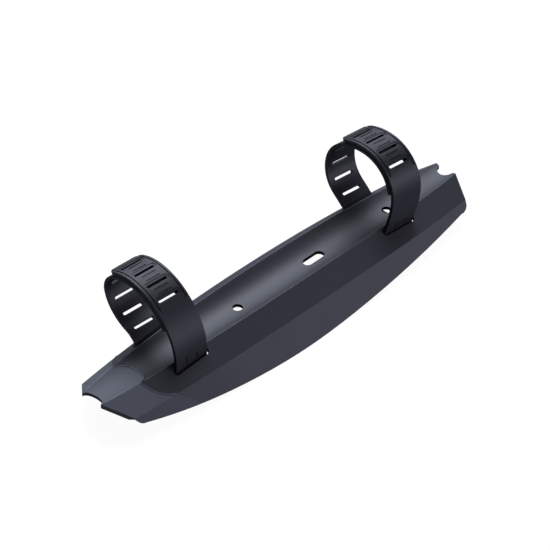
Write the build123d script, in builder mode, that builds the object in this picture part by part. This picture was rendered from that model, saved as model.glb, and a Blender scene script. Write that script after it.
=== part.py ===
"""Down-tube mudguard for a bicycle: a boat-shaped blade, its soft end cap and two strap loops.

X runs along the blade, with the soft cap at -X. +Z is up, with the trough open upwards.
The blade's own heights are measured from the lowest line of the trough.
"""
from build123d import *
from math import asin, cos, degrees, radians, sin, sqrt, tan
import os

os.makedirs("parts", exist_ok=True)

# Blade: overall size and sheet
HALF_LENGTH = 149.4
SHEET = 2.2
SECTION_COUNT = 7
CUT_SPARE = 10.0

# Trough and the sharp crests beside it
TROUGH_RADIUS = 20.3
TROUGH_RISE = 1.6
CREST_HALF_WIDTH = 15.1
CREST_TAPER = (-5.3, -2.1)
CREST_ROUND = 0.5

# Facet and skirt outside each crest
FACET_RUN = 12.45
FACET_ANGLE = 39.6
SKIRT_ANGLE = 62.8
# Lower edge of the skirts, as (share of the half length, height)
SKIRT_EDGE = [(-0.877, -11.3), (-0.616, -16.9), (-0.335, -20.2), (-0.094, -21.2),
              (0.228, -19.6), (0.616, -15.8), (0.917, -12.2)]
SKIRT_LOWEST = -min(height for share, height in SKIRT_EDGE)
# Rounded bottom corners of the skirts, as (distance from the end, height)
REAR_CORNER = [(12.8, -7.6), (14.7, -10.1)]
FRONT_CORNER = [(4.8, -8.0), (6.6, -10.9)]

# Ends, seen from above
CREST_END_HALF = 7.7
REAR_SWEEP = 0.91
FRONT_SWEEP = 0.40
REAR_NOTCH = (4.6, 7.1)
FRONT_NOTCH = 5.3
TIP_ROUND = 0.35

# Soft cap at the rear end, its joint seen from above: (distance from that end, distance from the middle)
CAP_TONGUE = 36.5
TONGUE_BULGE = (6.6, 6.4)
CAP_CUSP = (27.5, 10.2)
CAP_FACET_MID = (31.8, 17.2)
CAP_CREASE = (42.9, 24.1)
CAP_SKIRT_SLOPE = 0.5

# Holes for the bottle-cage bosses
BOSS_SLOT_X = 31.8
BOSS_PITCH = 64.0
BOSS_HOLE = 6.2
BOSS_SLOT_LENGTH = 16.0
BOSS_CUT = 6.0

# Straps
STRAP_WIDTH = 24.4
STRAP_THICK = 2.0
STRAP_FOOT = 16.0
TIP_CORNER = 4.5
LAYER_PITCH = 2.6
LAP_START = 3.0
LAP_END = 54.0
UNDER_CLEARANCE = 0.6
BEND_RADIUS = 3.0
SLOT_CLEAR_ENDS = 1.2
SLOT_CLEAR_SIDES = 0.8
SLOT_OUTSET = 0.5
STRAP_SLOT_REACH = 8.0
ADJUST_PITCH = 10.4
ADJUST_FIRST = 6.5
ADJUST_COUNT = 4
ADJUST_SLOT = (15.6, 1.8)
ADJUST_RECESS = (18.4, 4.8)
RECESS_DEPTH = 0.4
GROOVE = (10.6, 0.8)
FAR_FIRST = 8.3
FOOT_SLIT = (0.8, 4.2)
FOOT_SLIT_X = 4.2
FOOT_SLIT_Z = 2.6
EDGE_GROOVE_INSET = 1.9
EDGE_GROOVE = (0.9, 0.6)

# Reach of the profiles that cut the sheet, past its ends and its widest skirt
cut_end = HALF_LENGTH + CUT_SPARE
cut_half = CREST_HALF_WIDTH + FACET_RUN + SKIRT_LOWEST + CUT_SPARE
cut_floor = -SKIRT_LOWEST - CUT_SPARE
cut_height = 2 * (SKIRT_LOWEST + CUT_SPARE)
# The trough's lowest line is an arc of this radius, seen from the side
trough_bow = HALF_LENGTH ** 2 / (2 * TROUGH_RISE)


def crest_half(x):
    """Half the distance between the crests at x."""
    u = (x / HALF_LENGTH) ** 2
    return CREST_HALF_WIDTH + CREST_TAPER[0] * u + CREST_TAPER[1] * u * u


def trough_height(x):
    """Height of the lowest line of the trough at x."""
    return trough_bow - sqrt(trough_bow ** 2 - x ** 2)


def roof_points(x, depth):
    """Corners of the roof-shaped section at x, a depth below the outer faces: skirt end, crease and ridge at +Y."""
    crest_y = crest_half(x)
    crest_z = trough_height(x) + TROUGH_RADIUS - sqrt(TROUGH_RADIUS ** 2 - crest_y ** 2)
    facet, skirt = radians(FACET_ANGLE), radians(SKIRT_ANGLE)
    mitre = depth / cos((skirt - facet) / 2)
    bisector = (skirt + facet) / 2
    crease_y = crest_y + FACET_RUN - mitre * sin(bisector)
    crease_z = crest_z - FACET_RUN * tan(facet) - mitre * cos(bisector)
    ridge_z = crest_z + crest_y * tan(facet) - depth / cos(facet)
    skirt_y = crease_y + (crease_z - cut_floor) / tan(skirt)
    return [(skirt_y, cut_floor), (crease_y, crease_z), (0, ridge_z)]


def loft_roof(depth):
    """The solid under the roof, lofted along the blade."""
    sections = []
    for i in range(SECTION_COUNT):
        x = (2 * i / (SECTION_COUNT - 1) - 1) * (HALF_LENGTH + SHEET)
        with BuildSketch(Plane.YZ.offset(x)) as section:
            with BuildLine():
                right = roof_points(x, depth)
                Polyline(*right, *[(-y, z) for y, z in reversed(right[:-1])], close=True)
            make_face()
        sections.append(section.sketch)
    loft(sections)


def cut_tube(radius):
    """Cut the round trough: a tube whose axis bows upwards to both ends."""
    reach = asin(cut_end / trough_bow)
    start = Plane((trough_bow * sin(reach), 0, trough_bow * (1 - cos(reach))), x_dir=(0, 1, 0),
                  z_dir=(cos(reach), 0, sin(reach)))
    with BuildSketch(start) as section:
        with Locations((0, TROUGH_RADIUS)):
            Circle(radius)
    revolve(section.sketch, axis=Axis((0, 0, trough_bow), (0, 1, 0)), revolution_arc=2 * degrees(reach), mode=Mode.SUBTRACT)


# The hollow under the sheet
with BuildPart() as hollow:
    loft_roof(SHEET)
    cut_tube(TROUGH_RADIUS + SHEET)

# The whole sheet, before it is parted into blade and cap
with BuildPart() as shell:
    loft_roof(0)
    cut_tube(TROUGH_RADIUS)
    crests = shell.edges().filter_by(lambda e: e.length > HALF_LENGTH).group_by(Axis.Z)[-1]
    fillet(crests, CREST_ROUND)
    add(hollow.part, mode=Mode.SUBTRACT)

    # Swept ends with a notch between the crest tips
    with BuildSketch(Plane.XY.offset(cut_floor)) as plan:
        reach = cut_half - CREST_END_HALF
        rear_x, front_x = -HALF_LENGTH + REAR_SWEEP * reach, HALF_LENGTH - FRONT_SWEEP * reach
        with BuildLine():
            Polyline((-HALF_LENGTH, CREST_END_HALF), (rear_x, cut_half), (front_x, cut_half),
                     (HALF_LENGTH, CREST_END_HALF), (HALF_LENGTH, -CREST_END_HALF),
                     (front_x, -cut_half), (rear_x, -cut_half), (-HALF_LENGTH, -CREST_END_HALF), close=True)
        make_face()
        with Locations((-HALF_LENGTH, 0)):
            Ellipse(*REAR_NOTCH, mode=Mode.SUBTRACT)
        with Locations((HALF_LENGTH, 0)):
            Circle(FRONT_NOTCH, mode=Mode.SUBTRACT)
        fillet(plan.vertices().filter_by(lambda v: abs(v.X) > HALF_LENGTH - TIP_ROUND), TIP_ROUND)
    extrude(amount=cut_height, mode=Mode.INTERSECT)

    # Bowed lower edge of the skirts, with a round at each corner
    with BuildSketch(Plane.XZ):
        with BuildLine():
            edge = Spline(*[(share * HALF_LENGTH, height) for share, height in SKIRT_EDGE])
            rear_round = [(distance - HALF_LENGTH, height) for distance, height in REAR_CORNER]
            front_round = [(HALF_LENGTH - distance, height) for distance, height in FRONT_CORNER]
            ThreePointArc(*rear_round, edge @ 0)
            ThreePointArc(*front_round, edge @ 1)
            Polyline(front_round[0], (cut_end, front_round[0][1]), (cut_end, cut_floor),
                     (-cut_end, cut_floor), (-cut_end, rear_round[0][1]), rear_round[0])
        make_face()
    extrude(amount=cut_half, both=True, mode=Mode.SUBTRACT)

    # Boss holes in the trough floor
    with BuildSketch(Plane.XY.offset(-BOSS_CUT)):
        with Locations((BOSS_SLOT_X - BOSS_PITCH, 0), (BOSS_SLOT_X + BOSS_PITCH, 0)):
            Circle(BOSS_HOLE / 2)
        with Locations((BOSS_SLOT_X, 0)):
            SlotOverall(BOSS_SLOT_LENGTH, BOSS_HOLE)
    extrude(amount=2 * BOSS_CUT, mode=Mode.SUBTRACT)

def arc_chain(start, heading, ends):
    """Arcs that run on from each other without a kink, from start through each end."""
    arcs = []
    at, along = Vector(*start), Vector(cos(radians(heading)), sin(radians(heading)))
    for end in ends:
        arcs.append(TangentArc(at, Vector(*end), tangent=along))
        at, along = arcs[-1] @ 1, arcs[-1] % 1
    return arcs


class Loop:
    """One strap: where it stands, how far it leans towards +X and the arcs of its centre line.

    The arcs are given in the plane of the loop, as (y, height): near climbs from the slot at -Y to
    the outer tip, far from the slot at +Y to where it slips under the tip. Each has a start heading.
    """

    def __init__(self, centre_x, height, lean, near, far):
        tilt = radians(lean)
        self.centre = Vector(centre_x, 0, height)
        self.width_dir = Vector(cos(tilt), 0, -sin(tilt))
        self.up_dir = Vector(sin(tilt), 0, cos(tilt))
        self.side = Plane(self.centre, x_dir=(0, 1, 0), z_dir=self.width_dir)
        self.top = Plane(self.centre, x_dir=self.width_dir, z_dir=self.up_dir)
        self.near = arc_chain((-STRAP_FOOT, 0), *near)
        self.near_path = Wire(self.near)
        self.far = arc_chain((STRAP_FOOT, 0), far[0], [*far[1], self.beside(LAP_START, -LAYER_PITCH)])
        self.far_path = Wire(self.far)
        # The run under the trough stays clear of the sheet over the strap's whole width
        under = trough_height(centre_x) - SHEET - UNDER_CLEARANCE - (STRAP_THICK + STRAP_WIDTH * sin(tilt)) / 2
        self.under = under - height

    def beside(self, from_tip, offset):
        """The point at a distance from the tip and an offset outwards from the near centre line."""
        distance = self.near_path.length - from_tip
        along = self.near_path.tangent_at(distance, PositionMode.LENGTH)
        return self.near_path.position_at(distance, PositionMode.LENGTH) + along.rotate(Axis.Z, 90) * offset

    def follow(self, start, end, offset):
        """Arcs beside the near centre line, between two distances from the tip."""
        joints, passed = [], 0
        for arc in reversed(self.near):
            passed += arc.length
            joints.append(passed)
        stops = [start, *[joint for joint in joints if start < joint < end], end]
        for a, b in zip(stops, stops[1:]):
            ThreePointArc(*[self.beside(d, offset) for d in (a, (a + b) / 2, b)])

    def across(self, path, distance, outward_turn):
        """The plane that cuts through the strap at a distance along path, facing out of the loop."""
        point = path.position_at(distance, PositionMode.LENGTH)
        along = path.tangent_at(distance, PositionMode.LENGTH)
        origin = self.side.from_local_coords(point)
        outward = self.side.from_local_coords(point + along.rotate(Axis.Z, outward_turn)) - origin
        return Plane(origin, x_dir=self.width_dir, z_dir=outward)

    def across_near(self, from_tip):
        """The cutting plane at a distance from the tip."""
        return self.across(self.near_path, self.near_path.length - from_tip, 90)

    def across_far(self, from_foot):
        """The cutting plane at a distance from the foot at +Y."""
        return self.across(self.far_path, from_foot, -90)


REAR_LOOP = Loop(-87.0, 2.5, 3.0,
                 (91.7, [(-11.4, 18.5), (1.4, 33.3), (19.6, 41.4), (38.6, 38.2)]),
                 (53.6, [(24.4, 6.6), (35.3, 14.4), (40.9, 24.8)]))
FRONT_LOOP = Loop(88.0, 2.3, 6.0,
                  (107.8, [(-19.7, 19.4), (-13.2, 38.3), (4.7, 47.6), (24.6, 44.4)]),
                  (39.1, [(25.2, 7.3), (32.4, 17.3), (33.1, 29.4), (26.5, 39.9)]))

# The soft cap, parted from the blade along a tongue in the trough, a cusp at each crest and swept sides
with BuildPart() as end_cap:
    add(shell.part)
    with BuildSketch(Plane.XY.offset(cut_floor)) as cap_plan:
        cusp, facet_mid, crease = [Vector(x - HALF_LENGTH, y) for x, y in (CAP_CUSP, CAP_FACET_MID, CAP_CREASE)]
        skirt_end = Vector(crease.X + (cut_half - crease.Y) / CAP_SKIRT_SLOPE, cut_half)
        with BuildLine() as joint:
            ThreePointArc((CAP_TONGUE - HALF_LENGTH, 0), (cusp.X + TONGUE_BULGE[0], TONGUE_BULGE[1]), cusp)
            ThreePointArc(cusp, facet_mid, crease)
            Polyline(crease, skirt_end, (-cut_end, cut_half), (-cut_end, 0))
            mirror(about=Plane.XZ)
        make_face()
    extrude(amount=cut_height, mode=Mode.INTERSECT)

# The hard blade is the rest of the sheet, with a pair of slots for each strap
with BuildPart() as blade:
    add(shell.part)
    extrude(cap_plan.sketch, amount=cut_height, mode=Mode.SUBTRACT)
    for loop in (REAR_LOOP, FRONT_LOOP):
        with BuildSketch(loop.top):
            slot_y = STRAP_FOOT + SLOT_OUTSET
            with Locations((0, -slot_y), (0, slot_y)):
                SlotOverall(STRAP_WIDTH + 2 * SLOT_CLEAR_ENDS, STRAP_THICK + 2 * SLOT_CLEAR_SIDES)
        extrude(amount=STRAP_SLOT_REACH, both=True, mode=Mode.SUBTRACT)


def strap_solid(loop):
    """The strap's rubber ribbon with its adjusting slots, recesses, grooves and foot slits."""
    with BuildPart() as strap:
        with BuildSketch(loop.side.offset(-STRAP_WIDTH / 2)):
            with BuildLine():
                add(loop.near)
                add(loop.far)
                loop.follow(LAP_START, LAP_END, -LAYER_PITCH)
                bend_top = loop.under + BEND_RADIUS
                bend_end = STRAP_FOOT - BEND_RADIUS
                Line((-STRAP_FOOT, 0), (-STRAP_FOOT, bend_top))
                RadiusArc((-STRAP_FOOT, bend_top), (-bend_end, loop.under), -BEND_RADIUS)
                Line((-bend_end, loop.under), (bend_end, loop.under))
                RadiusArc((bend_end, loop.under), (STRAP_FOOT, bend_top), -BEND_RADIUS)
                Line((STRAP_FOOT, bend_top), (STRAP_FOOT, 0))
            trace(line_width=STRAP_THICK)
        extrude(amount=STRAP_WIDTH)
        tip = loop.side.from_local_coords(loop.near[-1] @ 1)
        short_edges = strap.edges().filter_by(lambda e: abs(e.length - STRAP_THICK) < STRAP_THICK / 10)
        fillet(short_edges.sort_by_distance(tip)[:2], TIP_CORNER)

        # Adjusting slots, through both layers near the tip and through the single far layer
        near_slots = [ADJUST_FIRST + ADJUST_PITCH * i for i in range(ADJUST_COUNT)]
        far_slots = [FAR_FIRST + ADJUST_PITCH * i for i in range(ADJUST_COUNT)]
        for plane in [loop.across_near(s) for s in near_slots] + [loop.across_far(s) for s in far_slots]:
            with BuildSketch(plane):
                SlotOverall(*ADJUST_SLOT)
        extrude(amount=LAYER_PITCH + STRAP_THICK, both=True, mode=Mode.SUBTRACT)

        # A shallow recess round each slot of the outer layer, and a pair of grooves between slots
        floor = STRAP_THICK / 2 - RECESS_DEPTH
        for s in near_slots:
            with BuildSketch(loop.across_near(s).offset(floor)):
                SlotOverall(*ADJUST_RECESS)
        for s in near_slots[:-1]:
            for share in (1 / 3, 2 / 3):
                with BuildSketch(loop.across_near(s + share * ADJUST_PITCH).offset(floor)):
                    SlotOverall(*GROOVE)
        extrude(amount=STRAP_THICK, mode=Mode.SUBTRACT)

        # A fine groove along each edge, from the tip to just past the last slot
        for side in (1, -1):
            with BuildSketch(loop.side.offset(side * (STRAP_WIDTH / 2 - EDGE_GROOVE_INSET))):
                with BuildLine():
                    loop.follow(0, near_slots[-1] + ADJUST_PITCH / 2, STRAP_THICK / 2)
                trace(line_width=2 * EDGE_GROOVE[1])
        extrude(amount=EDGE_GROOVE[0] / 2, both=True, mode=Mode.SUBTRACT)

        # Two slits divide the foot where it enters the slot at -Y
        with BuildSketch(Plane(loop.centre - Vector(0, STRAP_FOOT, 0), x_dir=loop.width_dir, z_dir=(0, -1, 0))):
            with Locations((-FOOT_SLIT_X, FOOT_SLIT_Z), (FOOT_SLIT_X, FOOT_SLIT_Z)):
                Rectangle(*FOOT_SLIT)
        extrude(amount=2 * STRAP_THICK, both=True, mode=Mode.SUBTRACT)
    return strap.part


pieces = {
    "blade": blade.part,
    "end_cap": end_cap.part,
    "strap_rear": strap_solid(REAR_LOOP),
    "strap_front": strap_solid(FRONT_LOOP),
}
box = Compound(children=[Part(piece.wrapped) for piece in pieces.values()]).bounding_box()
to_origin = Location((-box.center().X, -box.center().Y, -box.min.Z))
for name, piece in pieces.items():
    placed = piece.moved(to_origin)
    placed.label = name
    export_step(placed, f"parts/{name}.step")
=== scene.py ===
"""Looks of a bicycle down-tube mudguard: a satin plastic blade, its soft end cap and two rubber straps."""

import logging
from dataclasses import dataclass, field
from enum import Enum
from math import cos, pi, radians, sin, sqrt, tan

import bmesh
import bpy
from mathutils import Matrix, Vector


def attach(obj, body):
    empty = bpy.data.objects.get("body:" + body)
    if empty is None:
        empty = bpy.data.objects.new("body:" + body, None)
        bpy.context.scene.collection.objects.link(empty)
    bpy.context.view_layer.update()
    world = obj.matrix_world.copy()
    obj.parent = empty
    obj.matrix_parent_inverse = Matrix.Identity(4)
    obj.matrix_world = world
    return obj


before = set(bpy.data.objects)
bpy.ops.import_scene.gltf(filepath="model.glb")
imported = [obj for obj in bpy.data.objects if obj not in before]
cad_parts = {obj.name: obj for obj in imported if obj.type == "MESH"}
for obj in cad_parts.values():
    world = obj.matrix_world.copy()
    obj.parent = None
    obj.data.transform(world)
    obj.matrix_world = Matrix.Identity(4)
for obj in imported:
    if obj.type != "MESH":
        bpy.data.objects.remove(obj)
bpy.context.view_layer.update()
log = logging.getLogger("mudguard")

ROOT = "root"
MILLIMETRE = 0.001
UP = Vector((0.0, 0.0, 1.0))
WHITE = (1.0, 1.0, 1.0, 1.0)

SRGB_TOE = 0.04045
SRGB_SLOPE = 12.92
SRGB_OFFSET = 0.055
SRGB_GAMMA = 2.4

MIX_FACTOR, MIX_COLOUR_A, MIX_COLOUR_B, MIX_COLOUR_RESULT = 0, 6, 7, 2
CLOUD_DETAIL = 3.0
GRAIN_DETAIL = 2.0
BEAD_SIDES = 8


class Side(Enum):
    """A side of the middle line: the far one from the photograph or the near one, with the sign of its y."""

    FAR = 1
    NEAR = -1


def linear(hex_colour: str) -> tuple[float, float, float, float]:
    """Turn an sRGB hex colour into Blender's linear values.

    Args:
        hex_colour: six hex digits, such as "2b2d31".

    Returns:
        Red, green, blue and alpha, linear.
    """
    channels = [int(hex_colour[i:i + 2], 16) / 255 for i in (0, 2, 4)]
    red, green, blue = (
        c / SRGB_SLOPE if c <= SRGB_TOE else ((c + SRGB_OFFSET) / (1 + SRGB_OFFSET)) ** SRGB_GAMMA
        for c in channels)
    return red, green, blue, 1.0


def add_node(tree: bpy.types.NodeTree, kind: str, settings: dict | None = None,
             values: dict | None = None, links: dict | None = None) -> bpy.types.Node:
    """Add one node to a tree.

    Args:
        tree: the node tree.
        kind: the node's bl_idname.
        settings: attributes of the node itself.
        values: input socket name or number to its value.
        links: input socket name or number to the output socket that feeds it.

    Returns:
        The new node.
    """
    node = tree.nodes.new(kind)
    for name, value in (settings or {}).items():
        setattr(node, name, value)
    for name, value in (values or {}).items():
        node.inputs[name].default_value = value
    for name, source in (links or {}).items():
        tree.links.new(source, node.inputs[name])
    return node


def seen_or_not(tree: bpy.types.NodeTree, unseen: bpy.types.Node, seen: bpy.types.Node) -> bpy.types.Node:
    """Show the camera one shader and every other ray another.

    Args:
        tree: the node tree.
        unseen: the shader for rays that light the object.
        seen: the shader for rays from the camera.

    Returns:
        The node that mixes them.
    """
    path = add_node(tree, "ShaderNodeLightPath")
    return add_node(tree, "ShaderNodeMixShader", links={
        0: path.outputs["Is Camera Ray"], 1: unseen.outputs[0], 2: seen.outputs[0]})


@dataclass(frozen=True)
class MouldedFinish:
    """A moulded polymer surface: one colour, slightly clouded, with the mould's fine spark texture.

    The texture gives the satin sheen its soft edge. It is under 0.1 mm on the real part and is drawn
    at grain_mm, so that a close view shows it.
    """

    name: str
    colour: str
    cloud_colour: str
    roughness: float
    roughness_spread: float
    ior: float
    grain_mm: float
    grain_height_mm: float
    cloud_mm: float = 40.0

    def material(self) -> bpy.types.Material:
        """Build the material.

        Returns:
            The finished node material.
        """
        material = bpy.data.materials.new(self.name)
        material.use_nodes = True
        tree = material.node_tree
        tree.nodes.clear()
        place = add_node(tree, "ShaderNodeTexCoord")
        cloud, grain = (
            add_node(tree, "ShaderNodeTexNoise",
                     values={"Scale": 1 / (size_mm * MILLIMETRE), "Detail": detail},
                     links={"Vector": place.outputs["Object"]})
            for size_mm, detail in ((self.cloud_mm, CLOUD_DETAIL), (self.grain_mm, GRAIN_DETAIL)))
        colour = add_node(tree, "ShaderNodeMix", settings={"data_type": "RGBA"},
                          values={MIX_COLOUR_A: linear(self.colour),
                                  MIX_COLOUR_B: linear(self.cloud_colour)},
                          links={MIX_FACTOR: cloud.outputs["Fac"]})
        rough = add_node(tree, "ShaderNodeMapRange",
                         values={"To Min": self.roughness - self.roughness_spread,
                                 "To Max": self.roughness + self.roughness_spread},
                         links={"Value": cloud.outputs["Fac"]})
        bump = add_node(tree, "ShaderNodeBump",
                        values={"Strength": 1.0, "Distance": self.grain_height_mm * MILLIMETRE},
                        links={"Height": grain.outputs["Fac"]})
        shader = add_node(tree, "ShaderNodeBsdfPrincipled", values={"IOR": self.ior},
                          links={"Base Color": colour.outputs[MIX_COLOUR_RESULT],
                                 "Roughness": rough.outputs["Result"],
                                 "Normal": bump.outputs["Normal"]})
        add_node(tree, "ShaderNodeOutputMaterial", links={"Surface": shader.outputs["BSDF"]})
        return material


BLADE_PLASTIC = MouldedFinish(
    "moulded_polypropylene_black", "26282c", "2a2c31",
    roughness=0.52, roughness_spread=0.04, ior=1.49, grain_mm=0.35, grain_height_mm=0.006)
# Lighter than the blade plastic: a painted highlight along the crests. It is also glossier.
BLADE_CREST_HIGHLIGHT = MouldedFinish(
    "polypropylene_painted_crest_highlight", "303237", "34363c",
    roughness=0.36, roughness_spread=0.02, ior=1.49, grain_mm=0.35, grain_height_mm=0.003)
CAP_ELASTOMER = MouldedFinish(
    "moulded_elastomer_grey", "53565c", "585b62",
    roughness=0.62, roughness_spread=0.03, ior=1.36, grain_mm=0.40, grain_height_mm=0.006)
# Lighter than the cap elastomer: a painted highlight along the cap's rim and crests. It is also glossier.
CAP_RIM_HIGHLIGHT = MouldedFinish(
    "moulded_elastomer_painted_rim_highlight", "5a5d67", "60636d",
    roughness=0.40, roughness_spread=0.02, ior=1.48, grain_mm=0.40, grain_height_mm=0.003)
STRAP_RUBBER = MouldedFinish(
    "moulded_rubber_slate", "1c1d22", "212227",
    roughness=0.48, roughness_spread=0.04, ior=1.40, grain_mm=0.50, grain_height_mm=0.008)


def dress_node(node: str, finish: MouldedFinish) -> None:
    """Put a finish on a CAD node.

    Args:
        node: the CAD node's name.
        finish: what it is made of.
    """
    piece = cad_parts[node]
    piece.data.materials.clear()
    piece.data.materials.append(finish.material())
    log.info("dressed %s in %s", node, finish.name)


def arc_points(start: Vector, middle: Vector, end: Vector, count: int) -> list[Vector]:
    """Divide the arc through three points of the plan.

    Args:
        start: first end.
        middle: a point on the way.
        end: last end.
        count: how many equal steps.

    Returns:
        The points, both ends included.
    """
    chord, rise = end - start, middle - start
    turn = chord.x * rise.y - chord.y * rise.x
    to_centre = Vector((rise.y * chord.length_squared - chord.y * rise.length_squared,
                        chord.x * rise.length_squared - rise.x * chord.length_squared))
    centre = start + to_centre / (2 * turn)
    spoke = start - centre
    sweep = spoke.angle_signed(end - centre)
    return [centre + Vector((spoke.x * cos(t) + spoke.y * sin(t), spoke.y * cos(t) - spoke.x * sin(t)))
            for t in (sweep * i / count for i in range(count + 1))]


def bead_mesh(name: str, path: list[Vector], radius: float) -> bpy.types.Mesh:
    """Mesh a round bead along a path, closed at both ends.

    Args:
        name: the mesh's name.
        path: points of its centre line, in millimetres.
        radius: of the bead, in millimetres.

    Returns:
        The smooth mesh, in metres.
    """
    mesh_maker = bmesh.new()
    turns = [2 * pi * k / BEAD_SIDES for k in range(BEAD_SIDES)]
    rings = []
    for i, point in enumerate(path):
        along = (path[min(i + 1, len(path) - 1)] - path[max(i - 1, 0)]).normalized()
        side = along.cross(UP).normalized()
        over = side.cross(along)
        rings.append([
            mesh_maker.verts.new((point + (side * cos(t) + over * sin(t)) * radius) * MILLIMETRE)
            for t in turns])
    for ring, following in zip(rings, rings[1:]):
        for k in range(BEAD_SIDES):
            after = (k + 1) % BEAD_SIDES
            mesh_maker.faces.new((ring[k], ring[after], following[after], following[k]))
    for ring in (rings[0], rings[-1]):
        mesh_maker.faces.new(ring)
    bmesh.ops.recalc_face_normals(mesh_maker, faces=mesh_maker.faces)
    mesh = bpy.data.meshes.new(name)
    mesh_maker.to_mesh(mesh)
    mesh_maker.free()
    mesh.shade_smooth()
    return mesh


def add_bead(name: str, path: list[Vector], radius: float, finish: MouldedFinish) -> None:
    """Run a fine round bead along a path and hand it to the frame.

    Args:
        name: the piece's name.
        path: points of its centre line, in millimetres.
        radius: of the bead, in millimetres.
        finish: what it is made of.
    """
    mesh = bead_mesh(name, path, radius)
    mesh.materials.append(finish.material())
    bead = bpy.data.objects.new(name, mesh)
    bpy.context.scene.collection.objects.link(bead)
    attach(bead, ROOT)
    log.info("%s has %d faces", name, len(mesh.polygons))


@dataclass(frozen=True)
class SheetForm:
    """The outer face of the shell, in millimetres: trough, crest and facet, with the place of its middle."""

    half_length: float = 149.4
    middle: tuple[float, float, float] = (0.0, -2.8435, 21.2)
    trough_radius: float = 20.3
    trough_rise: float = 1.6
    crest_half: float = 15.1
    crest_taper: tuple[float, float] = (-5.3, -2.1)
    facet_angle: float = 39.6

    def crest(self, x: float) -> float:
        """Find how far the crests stand from the middle line.

        Args:
            x: along the blade from its middle.

        Returns:
            The distance, in millimetres.
        """
        share = (x / self.half_length) ** 2
        return self.crest_half + self.crest_taper[0] * share + self.crest_taper[1] * share ** 2

    def point(self, x: float, y: float) -> Vector:
        """Find the face over a place in the plan.

        Args:
            x: along the blade from its middle.
            y: across the blade from its middle.

        Returns:
            The point on the face, in millimetres from the part's origin.
        """
        bow = self.half_length ** 2 / (2 * self.trough_rise)
        floor = bow - sqrt(bow ** 2 - x ** 2)
        inside = min(abs(y), self.crest(x))
        height = floor + self.trough_radius - sqrt(self.trough_radius ** 2 - inside ** 2)
        height -= (abs(y) - inside) * tan(radians(self.facet_angle))
        return Vector((x, y, height)) + Vector(self.middle)


@dataclass
class Shell:
    """The blade and its end cap, the two moulded parts of the shell."""

    node_finishes: dict[str, MouldedFinish] = field(
        default_factory=lambda: {"blade": BLADE_PLASTIC, "end_cap": CAP_ELASTOMER})

    def dress(self) -> None:
        """Give each moulded part its own material."""
        for node, finish in self.node_finishes.items():
            dress_node(node, finish)


@dataclass
class Straps:
    """The two rubber strap loops."""

    nodes: tuple[str, str] = ("strap_rear", "strap_front")
    finish: MouldedFinish = STRAP_RUBBER

    def dress(self) -> None:
        """Give both straps the rubber."""
        for node in self.nodes:
            dress_node(node, self.finish)


@dataclass
class JointRim:
    """The cap's rounded rim, a fine bead proud of trough and facets along its joint with the blade, glossier
    than the cap and painted lighter as a painted highlight.
    """

    name: str = "cap_joint_rim"
    radius: float = 0.34
    steps: int = 24
    tongue: tuple[float, float] = (-112.9, 0.0)
    tongue_bulge: tuple[float, float] = (-115.3, 6.4)
    cusp: tuple[float, float] = (-121.9, 10.2)
    facet_middle: tuple[float, float] = (-117.6, 17.2)
    crease: tuple[float, float] = (-106.5, 24.1)
    form: SheetForm = SheetForm()
    finish: MouldedFinish = CAP_RIM_HIGHLIGHT

    def path(self) -> list[Vector]:
        """Follow the joint from one crease over the trough to the other.

        Returns:
            Points on the outer face, in millimetres.
        """
        tongue = arc_points(
            Vector(self.tongue), Vector(self.tongue_bulge), Vector(self.cusp), self.steps)
        facet = arc_points(
            Vector(self.cusp), Vector(self.facet_middle), Vector(self.crease), self.steps)
        half = [*tongue, *facet[1:]]
        plan = [Vector((p.x, -p.y)) for p in reversed(half[1:])] + half
        return [self.form.point(p.x, p.y) for p in plan]

    def build(self) -> None:
        """Mould the rim."""
        add_bead(self.name, self.path(), self.radius, self.finish)


@dataclass
class CrestEdges:
    """The rounded tops of both crests on blade and cap, glossier than the faces beside them and painted
    lighter, a painted highlight along each crest.
    """

    radius: float = 0.3
    sink: float = 0.33
    blade_reach: tuple[float, float] = (-121.4, 148.6)
    cap_reach: tuple[float, float] = (-148.6, -122.4)
    step: float = 4.0
    form: SheetForm = SheetForm()

    def path(self, reach: tuple[float, float], side: Side) -> list[Vector]:
        """Follow one crest.

        Args:
            reach: where it starts and ends along the blade.
            side: which of the two crests.

        Returns:
            Points just under the sharp corner of the crest, in millimetres.
        """
        start, end = reach
        count = round((end - start) / self.step)
        places = [start + (end - start) * i / count for i in range(count + 1)]
        return [self.form.point(x, side.value * self.form.crest(x)) - UP * self.sink for x in places]

    def build(self) -> None:
        """Run an edge along each crest of the blade and of the cap."""
        for side in Side:
            place = side.name.lower()
            add_bead(f"blade_crest_{place}", self.path(self.blade_reach, side),
                     self.radius, BLADE_CREST_HIGHLIGHT)
            add_bead(f"cap_crest_{place}", self.path(self.cap_reach, side),
                     self.radius, CAP_RIM_HIGHLIGHT)


@dataclass(frozen=True)
class Softbox:
    """One soft rectangular lamp, aimed at the middle of the object."""

    name: str
    place: tuple[float, float, float]
    size: tuple[float, float]
    power: float
    colour: str

    def build(self, target: Vector) -> None:
        """Hang the lamp.

        Args:
            target: the point that it faces.
        """
        lamp = bpy.data.lights.new(self.name, "AREA")
        lamp.shape = "RECTANGLE"
        lamp.size, lamp.size_y = self.size
        lamp.energy = self.power
        lamp.color = linear(self.colour)[:3]
        lamp_object = bpy.data.objects.new(self.name, lamp)
        lamp_object.location = self.place
        aim = target - Vector(self.place)
        lamp_object.rotation_euler = aim.to_track_quat("-Z", "Y").to_euler()
        bpy.context.scene.collection.objects.link(lamp_object)


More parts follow.
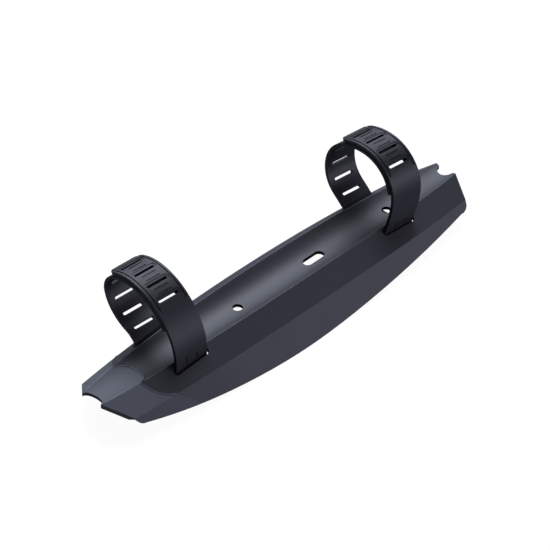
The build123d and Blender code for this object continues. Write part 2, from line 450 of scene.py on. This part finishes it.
@dataclass
class Studio:
    """The floor, the lamps, the world and the camera."""

    camera_place: tuple[float, float, float] = (-1.1387, -1.0876, 1.2662)
    camera_target: tuple[float, float, float] = (-0.0010, -0.0028, 0.0274)
    camera_lens: float = 225.1
    camera_reach: float = 50.0
    sensor: float = 36.0
    floor_half: float = 6.0
    floor_glow: float = 0.96
    floor_paper: str = "8c8c92"
    floor_paper_seen: str = "4c4c4e"
    world_strength: float = 0.05
    softboxes: tuple[Softbox, ...] = (
        Softbox("back_softbox", (1.25, 1.2, 1.5), (2.2, 2.0), 40.0, "e4ebff"),
        Softbox("top_softbox", (0.6, 0.65, 2.0), (1.1, 1.1), 42.0, "eef2ff"),
        Softbox("low_front_softbox", (1.5, -2.05, 0.3), (1.8, 0.8), 27.0, "e6e4ff"),
    )

    def build(self) -> None:
        """Set up everything round the object."""
        self.build_camera()
        self.build_world()
        self.build_floor()
        for softbox in self.softboxes:
            softbox.build(Vector(self.camera_target))
        bpy.context.scene.view_settings.view_transform = "Standard"

    def build_camera(self) -> None:
        """Stand the camera where the photograph was taken from."""
        camera = bpy.data.cameras.new("camera")
        camera.lens = self.camera_lens
        camera.sensor_width = self.sensor
        camera.clip_end = self.camera_reach
        camera_object = bpy.data.objects.new("camera", camera)
        camera_object.location = self.camera_place
        look = Vector(self.camera_target) - Vector(self.camera_place)
        camera_object.rotation_euler = look.to_track_quat("-Z", "Y").to_euler()
        bpy.context.scene.collection.objects.link(camera_object)
        bpy.context.scene.camera = camera_object

    def build_world(self) -> None:
        """Surround the object with white that lights it only softly."""
        world = bpy.data.worlds.new("studio")
        world.use_nodes = True
        tree = world.node_tree
        tree.nodes.clear()
        soft, full = (
            add_node(tree, "ShaderNodeBackground", values={"Color": WHITE, "Strength": strength})
            for strength in (self.world_strength, 1.0))
        mix = seen_or_not(tree, soft, full)
        add_node(tree, "ShaderNodeOutputWorld", links={"Surface": mix.outputs[0]})
        bpy.context.scene.world = world

    def build_floor(self) -> None:
        """Lay a white floor that keeps a faint shadow of the object."""
        material = bpy.data.materials.new("matt_white_paper")
        material.use_nodes = True
        tree = material.node_tree
        tree.nodes.clear()
        paper, faint = (
            add_node(tree, "ShaderNodeBsdfDiffuse", values={"Color": linear(colour)})
            for colour in (self.floor_paper, self.floor_paper_seen))
        glow = add_node(tree, "ShaderNodeEmission",
                        values={"Color": WHITE, "Strength": self.floor_glow})
        shown = add_node(tree, "ShaderNodeAddShader", links={0: faint.outputs[0], 1: glow.outputs[0]})
        mix = seen_or_not(tree, paper, shown)
        add_node(tree, "ShaderNodeOutputMaterial", links={"Surface": mix.outputs[0]})
        bpy.ops.mesh.primitive_plane_add(size=2 * self.floor_half)
        floor = bpy.context.object
        floor.name = "floor"
        floor.data.materials.append(material)


def main() -> None:
    """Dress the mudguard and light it."""
    logging.basicConfig(level=logging.INFO, format="%(name)s: %(message)s")
    Shell().dress()
    Straps().dress()
    JointRim().build()
    CrestEdges().build()
    Studio().build()
    log.info("sizes written")


if __name__ == "__main__":
    main()
